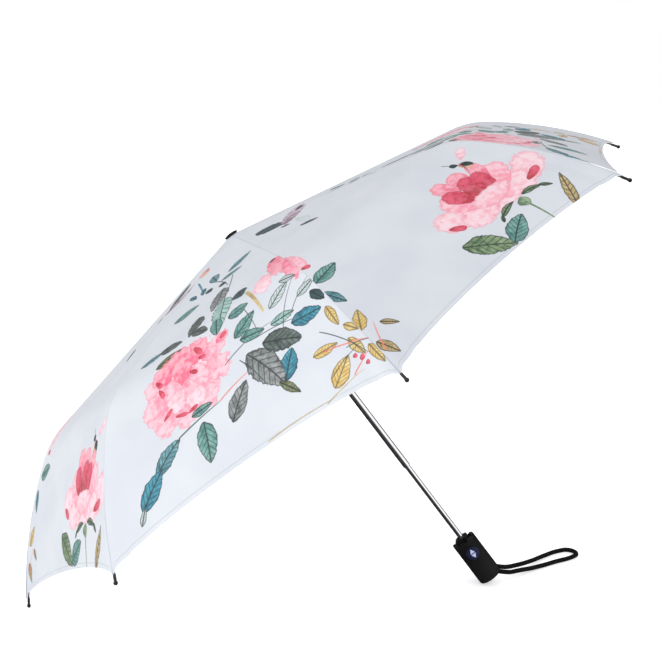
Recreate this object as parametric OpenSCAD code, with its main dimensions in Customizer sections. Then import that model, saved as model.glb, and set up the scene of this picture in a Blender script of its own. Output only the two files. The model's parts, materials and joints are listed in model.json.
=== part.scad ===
// Three-fold automatic umbrella, shown open and lying on two rib tips and the rim of its grip.
// Millimetres. It is designed upright round its shaft, crown up, with z = 0 where the canopy's slopes
// meet the shaft's axis. The last step lays it down, so that +Z is up from the surface it lies on.

/* [Rib frame] */
// Length of a top rib between its two hinges
top_len = 167; // [150:1:201]
// Length of a middle rib between its two hinges
mid_len = 167; // [150:1:170]
// Straight distance from an end rib's hinge to the centre of its tip
end_len = 201; // [167:1:242]
// Bend of an end rib from end to end, in degrees
end_bend = 21; // [10:0.5:26]
// Slope of the top and middle ribs when the canopy is open, in degrees
open_slope = 11.4; // [9.5:0.1:13.7]
// Slope of an end rib's chord when the canopy is open, in degrees
end_slope = 44.1; // [40:0.1:52]
// Distance of a stretcher's upper hinge from the crown, along the top rib
stretch_at = 85; // [71:1:90]
// Length of a stretcher between its two hinges
stretch_len = 92; // [88:1:98]
// Width of a rib channel
rib_w = 3; // [2.5:0.1:3.2]
// Height of a rib channel
rib_h = 2.6; // [2.2:0.1:2.8]
// Radius of the ball on a rib tip
ball_r = 2.4; // [2:0.1:2.9]

/* [Shaft] */
// Outside diameter of the upper tube
upper_od = 11.6; // [11:0.1:12]
// Outside diameter of the middle tube
middle_od = 9.4; // [9:0.1:9.6]
// Outside diameter of the lower tube
lower_od = 7.2; // [6.8:0.1:7.4]
// Wall of each tube
tube_wall = 0.6; // [0.5:0.05:0.7]
// Travel of the middle tube into the upper tube
middle_travel = 169.5; // [140:0.5:170]
// Travel of the lower tube into the middle tube
lower_travel = 116; // [96.5:0.5:139.5]

/* [Grip] */
// Length of the grip below its rim
grip_len = 62.4; // [58:0.2:75]
// Outside diameter of the grip
grip_od = 32; // [31:0.2:38.4]
// Radius of the edge round the foot
foot_round = 3.5; // [2:0.1:4]
// Diameter of the push button
button_d = 16.6; // [14:0.1:17.4]
// Travel of the push button
button_travel = 2.2; // [1.5:0.1:2.4]
// Diameter of the wrist strap's cord
strap_d = 6; // [5:0.1:6.2]

/* [Canopy] */
// Thickness of the cloth shell
cloth = 0.8; // [0.5:0.1:1]
// How far each hem is cut back at its middle, as a share of the outer slope
hem_cut = 0.095; // [0.06:0.005:0.14]
// Diameter of the crown cap
cap_d = 18.5; // [15.4:0.1:22.2]

/* [Hidden] */
ribs = [1 : 8];
$fn = 48;

// Clearances
run_gap = 0.05;      // radial gap of a pin or sliding tube
side_gap = 0.1;      // gap beside a hinge tongue
seat_gap = 0.02;     // gap round a pressed or glued seat
plate_gap = 0.15;    // gap between plates that swing past each other

// Rib details. In each member's own frame x runs along it from its first hinge and z is up.
pin_r = 0.7;
eye_r = 1.9;
wire_r = 0.6;
skin_z = -0.3;                       // top of a channel below its hinge line
floor_z = skin_z - rib_h;            // bottom of a channel
web = 0.6;                           // thickness of a channel's web
side = 0.5;                          // thickness of a channel's sides
tongue = 1;                          // thickness of a hinge tongue
body_gap = eye_r + 0.9;              // where a channel starts, past its hinge
crown_r = 11;                        // radius of the crown's hinge circle
crown_z = -6.6;                      // height of the crown's hinge circle
runner_r = 9.3;                      // radius of the runner's hinge circle
sleeve_r = 7.2;                      // outside radius of the runner's sleeve
stretch_h = 2.4;                     // height of a stretcher
stretch_drop = -floor_z + stretch_h / 2 + 0.2;
elbow_drop = -floor_z + 0.3;         // the end rib's hinge sits this far below the hinge line
rod_r = 1.1;
rod_rise = 1.7;                      // the end rib's rod starts this far above its hinge
neck_r = 1.6;
neck_len = 10;
tail_in = 10.2;                      // the middle rib's tail reaches this far back past its hinge
tail_drop = 5;
link_at = 12;                        // the link's inner end is this far down the stretcher
link_h = 2.4;
plate = 0.8;
tail_y = rib_w / 2 + plate_gap;      // inner face of the tail plate
link_y = tail_y + plate + plate_gap; // inner face of the link

// Slopes when the frame is folded, in degrees below the horizontal
fold_top = 88.5;
fold_mid = -90;
fold_end = 91.15;

// A point is [radius, height]; a slope p points outward and down
function along(p) = [cos(p), -sin(p)];
function above(p) = [sin(p), cos(p)];
function at(o, p, x, z) = o + x * along(p) + z * above(p);
function slope_of(v) = atan2(-v[1], v[0]);
function azimuth(k) = 22.5 + 45 * (k - 1);

crown_pin = [crown_r, crown_z];
function knee(top) = at(crown_pin, top, top_len, 0);
function elbow(top, mid) = at(knee(top), mid, mid_len, -elbow_drop);
function tip(top, mid, end) = at(elbow(top, mid), end, end_len, 0);
function strut(top) = at(crown_pin, top, stretch_at, -stretch_drop);
function runner_z(top) = strut(top)[1] - sqrt(stretch_len ^ 2 - (strut(top)[0] - runner_r) ^ 2);
function strut_slope(top) = slope_of([runner_r, runner_z(top)] - strut(top));
function tail(top, mid) = at(knee(top), mid, -tail_in, -tail_drop);
function link_end(top) = strut(top) + link_at * along(strut_slope(top));
function link_slope(top, mid) = slope_of(link_end(top) - tail(top, mid));

open_knee = knee(open_slope);
open_elbow = elbow(open_slope, open_slope);
open_tip = tip(open_slope, open_slope, end_slope);
open_strut = strut(open_slope);
open_tail = tail(open_slope, open_slope);
open_runner = runner_z(open_slope);
fold_runner = runner_z(fold_top);
link_len = norm(link_end(open_slope) - open_tail);
fold_tip = tip(fold_top, fold_mid, fold_end);

// Shaft, from the folded length upwards: the tips come down on the grip's rim
upper_r = upper_od / 2;
middle_r = middle_od / 2;
lower_r = lower_od / 2;
collar_rise = 4.5;                   // the inner collar stands this far above the rim
neck_h = 5;                          // length of a tube's drawn-in mouth
slider_h = 14;
stop_gap = 1;                        // a slider stops this far above a tube's drawn-in mouth
rim_fold = fold_tip[1] - ball_r - 0.6;
upper_end = rim_fold + collar_rise + 0.5;
middle_end = upper_end - middle_travel;
rim_z = rim_fold - middle_travel - lower_travel;
foot_z = rim_z - grip_len;
upper_top = crown_z + 2;
middle_top = upper_end + neck_h + stop_gap + slider_h;
lower_top = middle_end + neck_h + stop_gap + slider_h;
lower_end = rim_z - 28;

// Grip
grip_r = grip_od / 2;
shell_wall = 2.6;
cavity_r = grip_r - shell_wall;
seat_z = rim_z - 4;                  // the collar sits on the shell here
core_r = 9;
button_az = -75;
button_z = rim_z - 18.5;
button_r = button_d / 2;
button_out = grip_r + 1;             // the button's face stands proud of the grip
button_in = 11.6;
spring_in = 5;
strap_az = 10;
strap_r = strap_d / 2;
strap_mouth = [grip_r - 1.5, foot_z + 2.4];
strap_split = 0.4;                   // gap between the strap's two strands in its mouth

// Cloth: a straight slope from the axis to the bend over the elbow, then an arc to the tip
bend_r = open_elbow[0] - 2;
bend = [bend_r, -bend_r * tan(open_slope)];
cloth_rise = neck_r + cloth + 0.5;   // the cloth's outer face above the rod near the tip
cloth_end = at(open_tip, end_slope + end_bend / 2, -8, cloth_rise);
arc_slope = slope_of(cloth_end - bend);
arc_len = norm(cloth_end - bend);
arc_r = arc_len / 2 / sin(end_bend / 2);
hole_r = 3.9;
rows = 7;
gore_steps = 6;
function slope_at(t) = arc_slope + end_bend * (t - 0.5);
function arc_at(t) = bend + 2 * arc_r * sin(end_bend * t / 2)
    * along(arc_slope - end_bend / 2 + end_bend * t / 2);
// Row 0 is round the crown's hole, row 1 is the bend, and the last row is the hem
function line_at(i, w, drop) = i == 0
    ? [hole_r, -hole_r * tan(open_slope) - drop / cos(open_slope)]
    : let (t = (i - 1) / (rows - 1) * (1 - hem_cut * pow(4 * w * (1 - w), 0.57)))
      arc_at(t) - drop * above(i == 1 ? (open_slope + slope_at(0)) / 2 : slope_at(t));
// Between two ribs the cloth runs straight across
function cloth_point(i, j, drop) =
    let (g = floor(j / gore_steps), w = j / gore_steps - g, q = line_at(i, w, drop),
         a = azimuth(1 + g), b = azimuth(2 + g))
    [q[0] * ((1 - w) * cos(a) + w * cos(b)), q[0] * ((1 - w) * sin(a) + w * sin(b)), q[1]];
around = 8 * gore_steps;
cloth_points = [for (drop = [0, cloth], i = [0 : rows], j = [0 : around - 1]) cloth_point(i, j, drop)];
sheet = (rows + 1) * around;
function spot(s, i, j) = s * sheet + i * around + j % around;

// Lying down: the line under the tips of ribs 4 and 5 and the grip's foot becomes level
low_tip = [-open_tip[0] * cos(22.5), open_tip[1]];
low_foot = [-(grip_r - foot_round), foot_z + foot_round];
low_line = low_foot - low_tip;
lean = atan2(low_line[1], low_line[0]) - asin((foot_round - ball_r) / norm(low_line));
function lay_x(p) = p[0] * cos(lean) + p[2] * sin(lean);
function lay_z(p) = -p[0] * sin(lean) + p[2] * cos(lean);
tip_points = [for (k = ribs) [open_tip[0] * cos(azimuth(k)), 0, open_tip[1]]];
all_x = concat([for (p = cloth_points) lay_x(p)], [for (p = tip_points, s = [-1, 1]) lay_x(p) + s * ball_r]);
lay_shift = -(min(all_x) + max(all_x)) / 2;
lay_lift = ball_r - lay_z([low_tip[0], 0, low_tip[1]]);

// Wrist strap. Its two strands leave the mouth one above the other, sink to the surface that the
// umbrella lies on, and join in a round loop. Each row is [across, along, height], where across and
// along are counted from the mouth and height is a share of the strand's height at the mouth.
loop_r = 12.5;
loop_at = [87.8, 109.5];
near_side = [[8.3, 1.9, 0.9], [14.8, 7, 0.77], [21.3, 16, 0.62], [27.8, 26, 0.45], [34.3, 35, 0.29],
    [41.8, 44.5, 0.15], [49.8, 54, 0.06], [58.8, 63.8, 0], [67.8, 72.8, 0], [77.3, 81.5, 0],
    [85.4, 88.1, 0], [92, 94.5, 0]];
far_side = [[69.3, 110, 0], [60.8, 99.5, 0.01], [53.8, 89, 0.05], [47.3, 77, 0.125], [41.3, 64, 0.24],
    [35.8, 51.5, 0.375], [30.3, 39.5, 0.51], [24.8, 28.5, 0.64], [19.3, 18.5, 0.76], [14.3, 10, 0.86],
    [9.3, 4, 0.93]];
// A point in the mouth, out along it and up across it
function in_mouth(out, up) =
    let (q = strap_mouth + out * [cos(45), -sin(45)] + up * [sin(45), cos(45)],
         p = [q[0] * cos(strap_az), q[0] * sin(strap_az), q[1]])
    [lay_x(p) + lay_shift, p[1], lay_z(p) + lay_lift];
strand = strap_r + strap_split / 2;
mouth_mid = in_mouth(0, 0);
function on_way(p, up) =
    [mouth_mid[0] + p[0], mouth_mid[1] + p[1], strap_r + p[2] * (in_mouth(0, up)[2] - strap_r)];
strap_route = concat(
    [for (out = [-11, -5, 3]) in_mouth(out, -strand)],
    [for (p = near_side) on_way(p, -strand)],
    [for (a = [-41 : 30 : 139]) on_way([loop_at[0] + loop_r * cos(a), loop_at[1] + loop_r * sin(a), 0], 0)],
    [for (p = far_side) on_way(p, strand)],
    [for (out = [3, -5, -11]) in_mouth(out, strand)]);

module lie() {
    translate([lay_shift, 0, lay_lift]) rotate([0, lean, 0]) children();
}

// Puts a member's own frame at [radius, height] in the plane of rib k
module in_rib(k, o, slope) {
    lie() rotate([0, 0, azimuth(k)]) translate([o[0], 0, o[1]]) rotate([0, slope, 0]) children();
}

// Extrudes an outline in the x-z plane from y0 to y1
module slab(y0, y1) {
    translate([0, y1, 0]) rotate([90, 0, 0]) linear_extrude(y1 - y0) children();
}

module cross_pin(x, z, y0, y1, r) {
    translate([x, y1, z]) rotate([90, 0, 0]) cylinder(r = r, h = y1 - y0);
}

// A U channel, open at the bottom, or at the top when up is true
module channel(x0, x1, z0, z1, up = false) {
    difference() {
        translate([x0, -rib_w / 2, z0]) cube([x1 - x0, rib_w, z1 - z0]);
        translate([x0 - 1, -rib_w / 2 + side, up ? z0 + web : z0 - 1])
            cube([x1 - x0 + 2, rib_w - 2 * side, z1 - z0 - web + 1]);
    }
}

// The eye of a hinge at [x, z], joined to a channel end by a straight-sided neck
module eye_outline(x, z, neck, hole, r = eye_r) {
    difference() {
        union() {
            translate([x, z]) circle(r = r);
            polygon(neck);
        }
        if (hole > 0) translate([x, z]) circle(r = hole);
    }
}

// The two outer ears of a hinge
module ears() {
    for (s = [-1, 1])
        slab(s > 0 ? tongue / 2 + side_gap : -rib_w / 2, s > 0 ? rib_w / 2 : -tongue / 2 - side_gap)
            children();
}

module top_rib(k) {
    color("silver") in_rib(k, crown_pin, open_slope) {
        channel(4, top_len - body_gap, floor_z, skin_z);
        slab(-1.1, 1.1)
            eye_outline(0, 0, [[-0.6, -1.8], [5, floor_z], [5, skin_z], [0.8, 1.7]], wire_r + 0.12);
        ears() eye_outline(top_len, 0, [[top_len - 3.4, floor_z], [top_len - 3.4, skin_z],
            [top_len - 1.2, 1.45], [top_len + 1.5, -1.1], [top_len + 0.4, -1.85]], 0);
        cross_pin(top_len, 0, -rib_w / 2 - 0.4, rib_w / 2, pin_r);
        cross_pin(top_len, 0, -rib_w / 2 - 0.45, -rib_w / 2, 1.2);
        slab(-tongue / 2, tongue / 2) eye_outline(stretch_at, -stretch_drop,
            [[stretch_at - eye_r, -stretch_drop], [stretch_at + eye_r, -stretch_drop],
             [stretch_at + eye_r, skin_z - web / 2], [stretch_at - eye_r, skin_z - web / 2]], 0);
        cross_pin(stretch_at, -stretch_drop, -rib_w / 2 - 0.4, rib_w / 2, pin_r);
        cross_pin(stretch_at, -stretch_drop, -rib_w / 2 - 0.45, -rib_w / 2 - side_gap, 1.2);
    }
}

module mid_rib(k) {
    color("silver") in_rib(k, open_knee, open_slope) {
        channel(body_gap, mid_len - body_gap, floor_z, skin_z);
        slab(-tongue / 2, tongue / 2)
            eye_outline(0, 0, [[-0.4, -1.85], [3.4, floor_z], [3.4, skin_z], [1.2, 1.45]], pin_r + run_gap);
        ears() eye_outline(mid_len, -elbow_drop, [[mid_len - 3.4, floor_z], [mid_len - 3.4, skin_z],
            [mid_len + 0.8, -elbow_drop + 1.7], [mid_len - 1, -elbow_drop - 1.6]], 0);
        cross_pin(mid_len, -elbow_drop, -rib_w / 2 - 0.4, rib_w / 2 + 0.4, pin_r);
        for (y = [-rib_w / 2 - 0.45, rib_w / 2]) cross_pin(mid_len, -elbow_drop, y, y + 0.45, 1.2);
        // the tail that the link pulls on
        slab(rib_w / 2 - side, tail_y + plate)
            polygon([[3.4, floor_z + 0.3], [9, floor_z + 0.3], [9, skin_z - 0.3], [3.4, skin_z - 0.3]]);
        slab(tail_y, tail_y + plate) eye_outline(-tail_in, -tail_drop,
            [[-tail_in - 0.5, -tail_drop - 1.8], [9, floor_z + 0.3], [9, skin_z - 0.3], [3.4, skin_z - 0.9],
             [-tail_in + 0.4, -tail_drop + 1.85]], 0);
        cross_pin(-tail_in, -tail_drop, tail_y, link_y + plate + side_gap, pin_r);
        cross_pin(-tail_in, -tail_drop, link_y + plate + side_gap, link_y + plate + 0.5, 1.2);
    }
}

module end_rib(k) {
    rise = atan(rod_rise / end_len);
    rod_arc = end_len / cos(rise) / 2 / sin(end_bend / 2);
    color([0.14, 0.14, 0.15]) in_rib(k, open_elbow, end_slope) {
        slab(-tongue / 2, tongue / 2)
            eye_outline(0, 0, [[-1.2, 1.5], [5, 2.8], [5, 0.9], [1.7, -0.8]], pin_r + run_gap);
        translate([0, 0, rod_rise]) rotate([0, rise - end_bend / 2, 0]) {
            translate([2.9, 0, 0]) rotate([0, 90, 0]) cylinder(r = 1.35, h = 9);
            // the rod bows upwards between its two ends
            translate([0, 0, -rod_arc]) rotate([90, 0, 0]) rotate([0, 0, 90 - end_bend])
                rotate_extrude(angle = end_bend - 180 * 3 / (PI * rod_arc))
                    translate([rod_arc, 0]) circle(r = rod_r);
        }
        translate([end_len, 0, 0]) {
            sphere(r = ball_r);
            rotate([0, end_bend / 2, 0]) translate([-neck_len, 0, 0]) rotate([0, 90, 0])
                cylinder(r = neck_r, h = neck_len);
        }
    }
}

module stretcher(k) {
    half_h = stretch_h / 2;
    color("silver") in_rib(k, open_strut, strut_slope(open_slope)) {
        channel(body_gap, stretch_len - 3, -stretch_h / 2, stretch_h / 2);
        ears() eye_outline(0, 0, [[0, -half_h], [3.4, -half_h], [3.4, half_h], [0, half_h]],
            pin_r + run_gap, half_h);
        slab(-1.1, 1.1) eye_outline(stretch_len, 0, [[stretch_len - 4, -half_h], [stretch_len, -half_h],
            [stretch_len, half_h], [stretch_len - 4, half_h]], wire_r + 0.12);
    }
}

module link(k) {
    color("gray") in_rib(k, open_tail, link_slope(open_slope, open_slope)) {
        slab(link_y, link_y + plate) difference() {
            union() {
                for (x = [0, link_len]) translate([x, 0]) circle(r = 1.7);
                translate([0, -link_h / 2]) square([link_len, link_h]);
            }
            circle(r = pin_r + run_gap);
        }
        // a rivet head, and a stub that stops short of the stretcher
        cross_pin(link_len, 0, tail_y, link_y, 0.9);
        cross_pin(link_len, 0, link_y + plate, link_y + plate + 0.4, 1.2);
    }
}

module crown_notch() {
    bottom = crown_z - 2.8;
    ceiling = crown_z + eye_r + 0.2;
    color([0.08, 0.08, 0.09]) lie() difference() {
        translate([0, 0, bottom]) cylinder(r = 13, h = ceiling + 0.7 - bottom);
        translate([0, 0, bottom - 1]) cylinder(r = upper_r + seat_gap, h = upper_top - bottom + 1);
        for (k = ribs) rotate([0, 0, azimuth(k)]) translate([7.6, -rib_w / 2 - 0.2, bottom - 1])
            cube([10, rib_w + 0.4, ceiling - bottom + 1]);
        translate([0, 0, crown_z]) rotate_extrude() translate([crown_r, 0]) circle(r = wire_r + run_gap);
    }
}

module crown_wire() {
    color("silver") lie() translate([0, 0, crown_z])
        rotate_extrude() translate([crown_r, 0]) circle(r = wire_r);
}

module crown_cap() {
    cap_r = cap_d / 2;
    stem_end = crown_z + eye_r + 0.9;
    edge = -cap_r * tan(open_slope) + 0.5;
    color([0.05, 0.05, 0.06]) lie() rotate_extrude()
        polygon([[0, stem_end], [hole_r - 0.4, stem_end], [hole_r - 0.4, edge + 0.4], [cap_r - 1, edge],
            [cap_r, edge + 0.5], [cap_r, edge + 1.8], [cap_r - 0.8, edge + 2.6], [cap_r * 0.5, edge + 3.5],
            [0, edge + 3.9]]);
}

module canopy() {
    last = around - 1;
    color([0.9, 0.93, 0.95]) lie() polyhedron(cloth_points, concat(
        [for (i = [0 : rows - 1], j = [0 : last]) [spot(0, i, j), spot(0, i + 1, j), spot(0, i, j + 1)]],
        [for (i = [0 : rows - 1], j = [0 : last])
            [spot(0, i + 1, j), spot(0, i + 1, j + 1), spot(0, i, j + 1)]],
        [for (i = [0 : rows - 1], j = [0 : last]) [spot(1, i, j), spot(1, i, j + 1), spot(1, i + 1, j)]],
        [for (i = [0 : rows - 1], j = [0 : last])
            [spot(1, i + 1, j), spot(1, i, j + 1), spot(1, i + 1, j + 1)]],
        [for (j = [0 : last]) [spot(0, 0, j), spot(0, 0, j + 1), spot(1, 0, j)]],
        [for (j = [0 : last]) [spot(1, 0, j), spot(0, 0, j + 1), spot(1, 0, j + 1)]],
        [for (j = [0 : last]) [spot(0, rows, j), spot(1, rows, j), spot(0, rows, j + 1)]],
        [for (j = [0 : last]) [spot(1, rows, j), spot(1, rows, j + 1), spot(0, rows, j + 1)]]));
}

// A tube whose lower mouth is drawn in to guide the tube inside it
module drawn_tube(z0, z1, r, mouth_r) {
    rotate_extrude() polygon([[r - tube_wall, z1], [r, z1], [r, z0 + 0.4], [r - 0.4, z0], [mouth_r, z0],
        [mouth_r, z0 + neck_h], [r - tube_wall, z0 + neck_h + 0.6]]);
}

module upper_tube() {
    color([0.8, 0.8, 0.82]) lie() drawn_tube(upper_end, upper_top, upper_r, middle_r + run_gap);
}

module middle_tube() {
    color([0.8, 0.8, 0.82]) lie() drawn_tube(middle_end, middle_top, middle_r, lower_r + run_gap);
}

module ring(z0, z1, r0, r1) {
    translate([0, 0, z0]) difference() {
        cylinder(r = r1, h = z1 - z0);
        translate([0, 0, -1]) cylinder(r = r0, h = z1 - z0 + 2);
    }
}

module middle_slider() {
    color("black") lie()
        ring(middle_top - slider_h, middle_top, middle_r + seat_gap, upper_r - tube_wall - run_gap);
}

module lower_tube() {
    color([0.8, 0.8, 0.82]) lie() ring(lower_end, lower_top, lower_r - tube_wall, lower_r);
}

module lower_slider() {
    color("black") lie()
        ring(lower_top - slider_h, lower_top, lower_r + seat_gap, middle_r - tube_wall - run_gap);
}

module runner() {
    color([0.08, 0.08, 0.09]) lie() translate([0, 0, open_runner]) difference() {
        rotate_extrude() polygon([[upper_r + run_gap, -12], [sleeve_r, -12], [sleeve_r, -3.2], [11, -3.2],
            [11.5, -2.7], [11.5, 2.7], [11, 3.2], [sleeve_r, 3.2], [sleeve_r, 6], [upper_r + run_gap, 6]]);
        for (k = ribs) rotate([0, 0, azimuth(k)]) translate([sleeve_r, -rib_w / 2 - 0.2, -4])
            cube([10, rib_w + 0.4, 8]);
    }
}

module runner_ring() {
    color("silver") lie() translate([0, 0, open_runner]) rotate_extrude()
        polygon([[upper_r + run_gap, -15.5], [7.7, -15.5], [8.1, -15.1], [8.1, -12.4], [7.7, -12],
            [upper_r + run_gap, -12]]);
}

// The slanting mouth at the foot's edge where the strap's two strands come out
module strap_mouth_cut(grow) {
    rotate([0, 0, strap_az]) translate([strap_mouth[0], 0, strap_mouth[1]]) rotate([0, 45, 0]) {
        for (s = [-1, 1]) translate([-12, 0, s * strand]) rotate([0, 90, 0])
            cylinder(r = strap_r + grow, h = 25);
        translate([-12, -strap_r - grow, -strand]) cube([25, 2 * (strap_r + grow), 2 * strand]);
    }
}

module grip_shell() {
    floor_top = foot_z + 3.4;
    color([0.05, 0.05, 0.055]) lie() difference() {
        rotate_extrude() union() {
            difference() {
                translate([0, foot_z]) square([grip_r, seat_z - foot_z]);
                translate([grip_r - foot_round, foot_z - 1]) square([foot_round + 1, foot_round + 1]);
            }
            intersection() {
                translate([grip_r - foot_round, foot_z + foot_round]) circle(r = foot_round);
                translate([grip_r - foot_round, foot_z]) square([foot_round, foot_round]);
            }
        }
        translate([0, 0, floor_top]) cylinder(r = cavity_r, h = 100);
        translate([0, 0, foot_z - 1]) cylinder(r = 6 + seat_gap, h = 10);
        rotate([0, 0, button_az]) translate([0, 0, button_z]) rotate([0, 90, 0])
            cylinder(r = button_r + 0.08, h = 40);
        strap_mouth_cut(0.2);
    }
}

module foot_plug() {
    color([0.05, 0.05, 0.055]) lie() difference() {
        union() {
            translate([0, 0, foot_z]) cylinder(r = 6, h = 3.4);
            translate([0, 0, foot_z + 3.4]) cylinder(r = 7.4, h = 1.4);
        }
        strap_mouth_cut(0.2);
    }
}

module grip_collar() {
    lobes = 8;
    color([0.06, 0.06, 0.065]) lie() difference() {
        union() {
            // rim that receives the rib tips
            ring(seat_z, rim_z, grip_r - 4.2, grip_r);
            ring(seat_z - 5, seat_z, core_r + seat_gap, cavity_r - seat_gap);
            ring(seat_z, rim_z - 3, lower_r + 0.4, grip_r - 1);
            // lobed inner collar round the shaft
            difference() {
                ring(rim_z - 3, rim_z + collar_rise, lower_r + 0.4, 8.8);
                for (i = [1 : lobes]) rotate([0, 0, azimuth(i)]) translate([9.4, 0, rim_z - 2])
                    cylinder(r = 1.5, h = 10);
            }
        }
        // a scallop in the rim below each rib tip
        for (i = ribs) rotate([0, 0, azimuth(i)]) translate([grip_r - 6, 0, rim_z + 1.2]) rotate([0, 90, 0])
            cylinder(r = 3.4, h = 10);
    }
}

module grip_core() {
    core_end = lower_end - 4;
    color([0.15, 0.15, 0.16]) lie() difference() {
        translate([0, 0, core_end]) cylinder(r = core_r, h = seat_z - core_end);
        translate([0, 0, lower_end]) cylinder(r = lower_r + seat_gap, h = 100);
        rotate([0, 0, button_az]) translate([spring_in, 0, button_z]) rotate([0, 90, 0])
            cylinder(r = 4.2, h = 20);
    }
}

module button() {
    color([0.05, 0.06, 0.14]) lie() intersection() {
        rotate([0, 0, button_az]) translate([button_in, 0, button_z]) rotate([0, 90, 0])
            cylinder(r = button_r, h = 20);
        translate([0, 0, button_z - 20]) cylinder(r = button_out, h = 40);
    }
}

// A coil swept as one closed tube along +X from x0 to x1
module coil(x0, x1, r, wire, turns) {
    sides = 8;
    steps = 14;
    n = turns * steps;
    function ring_point(i, s) =
        let (a = 360 * i / steps, b = 360 * s / sides, rho = r + wire * cos(b))
        [x0 + wire + (x1 - x0 - 2 * wire) * i / n + wire * sin(b), rho * cos(a), rho * sin(a)];
    polyhedron([for (i = [0 : n], s = [0 : sides - 1]) ring_point(i, s)], concat(
        [[for (s = [sides - 1 : -1 : 0]) s]],
        [for (i = [0 : n - 1], s = [0 : sides - 1])
            [i * sides + s, i * sides + (s + 1) % sides, (i + 1) * sides + s]],
        [for (i = [0 : n - 1], s = [0 : sides - 1])
            [i * sides + (s + 1) % sides, (i + 1) * sides + (s + 1) % sides, (i + 1) * sides + s]],
        [[for (s = [0 : sides - 1]) n * sides + s]]));
}

module button_spring() {
    color("silver") lie() rotate([0, 0, button_az]) translate([0, 0, button_z])
        coil(spring_in + 0.02, button_in - 0.02, 3.2, 0.35, 4);
}

module strap_pin() {
    depth = strap_mouth - [9.4, -9.4];
    color("silver") lie() rotate([0, 0, strap_az]) translate([depth[0], 0, depth[1]]) rotate([90, 0, 0])
        cylinder(r = 1.4, h = 23, center = true);
}

// Sweeps a round tube along points; each ring faces the mean of its two neighbouring directions
module cord(points, r, sides) {
    n = len(points);
    function unit(v) = v / norm(v);
    function facing(i) = unit(i == 0 ? points[1] - points[0] : i == n - 1 ? points[n - 1] - points[n - 2]
        : unit(points[i + 1] - points[i]) + unit(points[i] - points[i - 1]));
    function ring_point(i, s) =
        let (t = facing(i), u = unit(cross([0, 0, 1], t)), v = cross(t, u), a = 360 * (s + 0.5) / sides)
        points[i] + r * (cos(a) * u + sin(a) * v);
    polyhedron([for (i = [0 : n - 1], s = [0 : sides - 1]) ring_point(i, s)], concat(
        [[for (s = [sides - 1 : -1 : 0]) s]],
        [for (i = [0 : n - 2], s = [0 : sides - 1])
            [i * sides + s, i * sides + (s + 1) % sides, (i + 1) * sides + s]],
        [for (i = [0 : n - 2], s = [0 : sides - 1])
            [i * sides + (s + 1) % sides, (i + 1) * sides + (s + 1) % sides, (i + 1) * sides + s]],
        [[for (s = [0 : sides - 1]) (n - 1) * sides + s]]));
}

module wrist_strap() {
    color([0.04, 0.04, 0.04]) cord(strap_route, strap_r, 10);
}

for (k = ribs) {
    top_rib(k);
    mid_rib(k);
    end_rib(k);
    stretcher(k);
    link(k);
}
crown_notch();
crown_wire();
crown_cap();
canopy();
upper_tube();
middle_tube();
middle_slider();
lower_tube();
lower_slider();
runner();
runner_ring();
grip_shell();
grip_collar();
grip_core();
foot_plug();
button();
button_spring();
strap_pin();
wrist_strap();
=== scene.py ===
import json
import math

import bmesh
import bpy
import numpy as np
from mathutils import Matrix, Vector


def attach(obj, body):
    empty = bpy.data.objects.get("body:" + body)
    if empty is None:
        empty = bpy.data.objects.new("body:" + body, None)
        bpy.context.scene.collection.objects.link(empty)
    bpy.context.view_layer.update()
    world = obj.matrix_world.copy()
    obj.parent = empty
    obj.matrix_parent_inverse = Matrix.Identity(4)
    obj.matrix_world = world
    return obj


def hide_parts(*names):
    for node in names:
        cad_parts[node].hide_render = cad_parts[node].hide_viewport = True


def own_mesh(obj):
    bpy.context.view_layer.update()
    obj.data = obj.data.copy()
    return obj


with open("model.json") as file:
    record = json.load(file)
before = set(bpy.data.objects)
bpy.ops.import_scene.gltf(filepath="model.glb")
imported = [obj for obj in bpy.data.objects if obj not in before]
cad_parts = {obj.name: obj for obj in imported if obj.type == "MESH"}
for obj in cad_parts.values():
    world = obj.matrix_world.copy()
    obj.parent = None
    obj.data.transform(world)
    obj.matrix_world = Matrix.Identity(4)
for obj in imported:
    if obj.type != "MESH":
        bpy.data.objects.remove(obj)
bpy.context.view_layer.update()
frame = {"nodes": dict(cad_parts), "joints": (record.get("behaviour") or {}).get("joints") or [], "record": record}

MM = 0.001
RIBS = range(1, 9)


# ---------------------------------------------------------------- the umbrella's own directions

joints = {j["name"]: j for j in frame["joints"]}
shaft_down = Vector(joints["runner_slide"]["axis"]).normalized()
shaft_up = -shaft_down
shaft_side = Vector((shaft_up.z, 0, -shaft_up.x))
hinge_ring = sum((Vector(joints[f"top_hinge_{k}"]["pos_m"]) for k in RIBS), Vector()) / 8
apex = hinge_ring + 6.6 * MM * shaft_up
upright = Matrix((shaft_side, Vector((0, 1, 0)), shaft_up)).transposed().to_4x4()
upright.translation = apex


def rib_azimuth(k):
    return math.radians(22.5 + 45 * (k - 1))


def place_on_shaft(azimuth=0.0, radius=0.0, height=0.0):
    """A frame on the umbrella's axis: X points out from the shaft, Z up to the crown."""
    turn = Matrix.Rotation(azimuth, 4, "Z")
    return upright @ turn @ Matrix.Translation((radius * MM, 0, height * MM))


# ---------------------------------------------------------------- camera, light and floor

def look(location, forward, up, lens):
    forward, up = Vector(forward).normalized(), Vector(up).normalized()
    right = forward.cross(up).normalized()
    up = right.cross(forward)
    data = bpy.data.cameras.new("view")
    data.lens, data.sensor_width = lens, 36
    camera = bpy.data.objects.new("view", data)
    bpy.context.collection.objects.link(camera)
    turn = Matrix((right, up, -forward)).transposed().to_4x4()
    camera.matrix_world = Matrix.Translation(location) @ turn
    bpy.context.scene.camera = camera


look((0.2812, -1.6587, 0.7284), (-0.1643, 0.959, -0.2309), (-0.0475, 0.2261, 0.9729), 73.84)


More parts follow.
